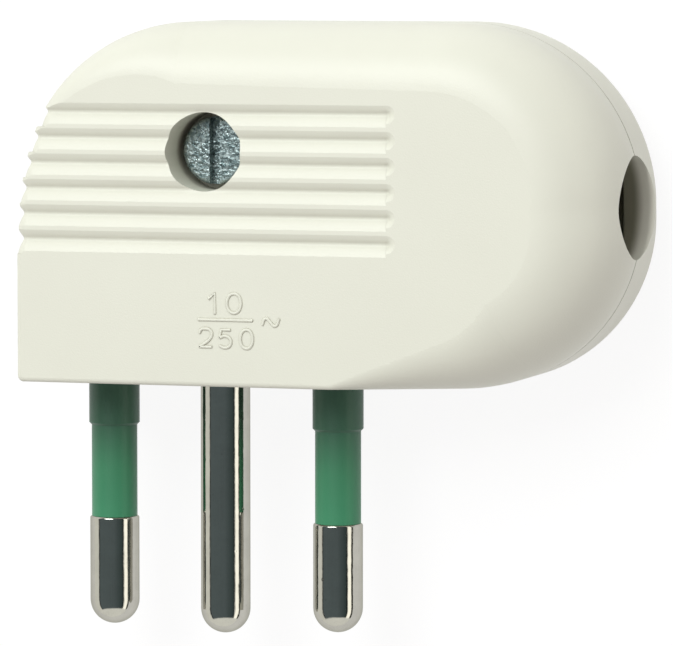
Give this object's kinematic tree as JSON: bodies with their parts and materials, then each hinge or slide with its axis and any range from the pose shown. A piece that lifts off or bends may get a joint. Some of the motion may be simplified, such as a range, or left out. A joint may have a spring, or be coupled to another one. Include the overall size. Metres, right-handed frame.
{
  "type": "angled mains plug",
  "caption": "Side-entry mains plug: two ivory shells with a reeded grip and a round cord end, in-line round pins, the outer ones sleeved, and a recessed closing screw.",
  "frame": {"origin": "centre of the whole plug's box, on the rear face that it lies on", "axes": "+Z out of the front face, -Y along the pins away from the body, +X towards the cord end"},
  "size_m": [0.0492, 0.0492, 0.017],
  "materials": {
    "body_plastic": "satin moulded ivory",
    "pin_metal": "bright nickel plate on brass",
    "sleeve_plastic": "satin moulded green",
    "zinc_steel": "blue zinc plate",
    "insert_brass": "plain turned",
    "clamp_plastic": "moulded"
  },
  "bodies": {
    "root": {"front_shell": "body_plastic", "rear_shell": "body_plastic", "closing_screw": "zinc_steel", "closing_insert": "insert_brass", "line_pin": "pin_metal", "neutral_pin": "pin_metal", "earth_pin": "pin_metal", "line_sleeve": "sleeve_plastic", "neutral_sleeve": "sleeve_plastic", "line_terminal_screw": "zinc_steel", "neutral_terminal_screw": "zinc_steel", "earth_terminal_screw": "zinc_steel", "cord_clamp": "clamp_plastic", "lower_clamp_screw": "zinc_steel", "upper_clamp_screw": "zinc_steel"}
  },
  "joints": []
}
